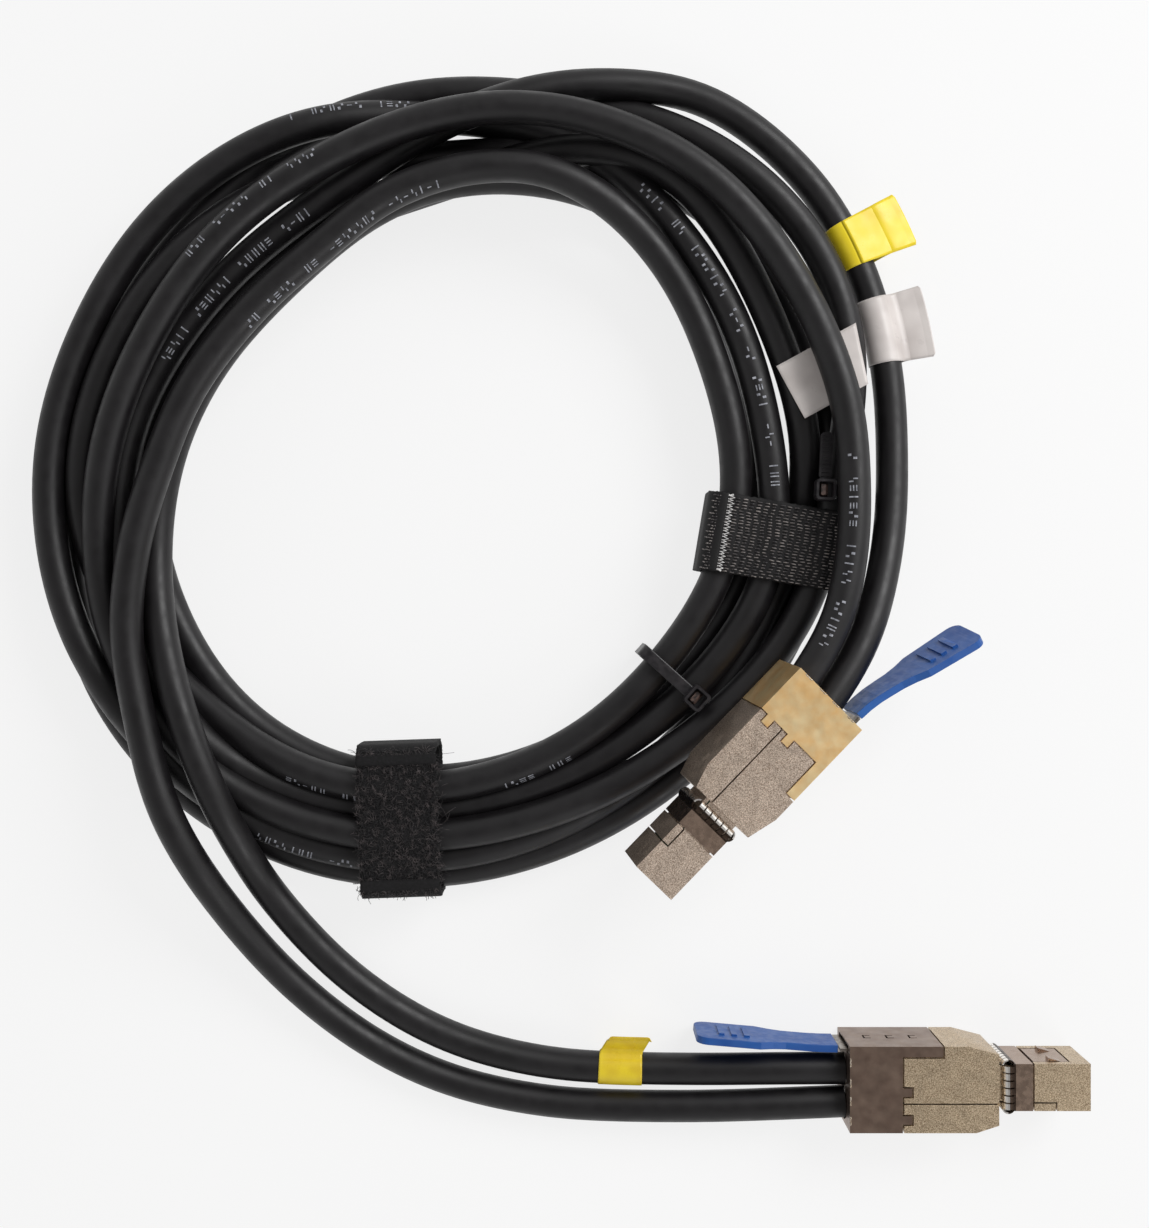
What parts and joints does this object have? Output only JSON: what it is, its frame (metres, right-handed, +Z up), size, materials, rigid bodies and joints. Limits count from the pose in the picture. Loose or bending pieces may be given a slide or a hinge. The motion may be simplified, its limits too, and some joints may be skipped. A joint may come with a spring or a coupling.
{
  "type": "external storage cable",
  "caption": "Coiled external storage cable: latching metal plugs with blue pull tabs on two parallel round cables, held by straps and ties.",
  "frame": {"origin": "at the foot of the middle of the box round the plugs, straps, ties and labels, on the surface that the cable lies on", "axes": "+Z up from that surface; the lower plug's nose points along +X and the coil lies towards +Y"},
  "size_m": [0.2157, 0.2184, 0.032],
  "materials": {
    "cast_metal": "fine textured die casting, warm nickel plate",
    "cover_metal": "smooth plated sheet",
    "spring_metal": "bright spring strip",
    "steel": "plain steel",
    "blue_plastic": "satin moulded",
    "board": "circuit board with gold contacts",
    "pale_plastic": "moulded",
    "jacket": "matte extruded jacket with faint pale print",
    "webbing": "hook-and-loop tape",
    "nylon": "moulded nylon",
    "yellow_label": "satin film",
    "white_label": "satin film"
  },
  "bodies": {
    "cable": {"upper_plug_top_shell": "cast_metal", "upper_plug_bottom_shell": "cast_metal", "upper_plug_rear_cover": "cover_metal", "upper_plug_emi_collar": "spring_metal", "upper_plug_latch_pin": "steel", "upper_plug_paddle_card_low": "board", "upper_plug_paddle_card_high": "board", "upper_plug_wire_organizer": "pale_plastic", "upper_plug_cable_ferrule_low": "steel", "upper_plug_cable_ferrule_high": "steel", "lower_plug_top_shell": "cast_metal", "lower_plug_bottom_shell": "cast_metal", "lower_plug_rear_cover": "cover_metal", "lower_plug_emi_collar": "spring_metal", "lower_plug_latch_pin": "steel", "lower_plug_paddle_card_low": "board", "lower_plug_paddle_card_high": "board", "lower_plug_wire_organizer": "pale_plastic", "lower_plug_cable_ferrule_low": "steel", "lower_plug_cable_ferrule_high": "steel", "cable_coil": "jacket", "lead_a": "jacket", "lead_b": "jacket", "tail_a": "jacket", "tail_b": "jacket", "strap_lower": "webbing", "strap_right": "webbing", "cable_tie_inner": "nylon", "cable_tie_outer": "nylon", "flag_yellow_lead": "yellow_label", "flag_white_lead": "white_label", "flag_yellow_tail": "yellow_label", "label_code": "white_label"},
    "upper_pull": {"upper_plug_pull_slide": "steel", "upper_plug_pull_tab": "blue_plastic"},
    "upper_latch": {"upper_plug_latch": "cover_metal"},
    "lower_pull": {"lower_plug_pull_slide": "steel", "lower_plug_pull_tab": "blue_plastic"},
    "lower_latch": {"lower_plug_latch": "cover_metal"}
  },
  "joints": [
    {"name": "upper_tab_pull", "type": "slide", "parent": "cable", "child": "upper_pull", "axis": [0.6977, 0.715, -0.0454], "range_m": [0, 0.0025], "stiffness_N_per_m": 1500},
    {"name": "upper_latch_turn", "type": "hinge", "parent": "cable", "child": "upper_latch", "pos_m": [0.00428, -0.0271, 0.02274], "axis": [-0.1457, 0.0796, -0.9861], "range_deg": [0, 3]},
    {"name": "lower_tab_pull", "type": "slide", "parent": "cable", "child": "lower_pull", "axis": [-1, 0, 0], "range_m": [0, 0.0025], "stiffness_N_per_m": 1500},
    {"name": "lower_latch_turn", "type": "hinge", "parent": "cable", "child": "lower_latch", "pos_m": [0.0499, -0.08187, 0.0071], "axis": [0, 0, -1], "range_deg": [0, 3]}
  ],
  "couplings": [
    {"joint": "upper_latch_turn", "follows": "upper_tab_pull", "rad_per_m": 20},
    {"joint": "lower_latch_turn", "follows": "lower_tab_pull", "rad_per_m": 20}
  ]
}
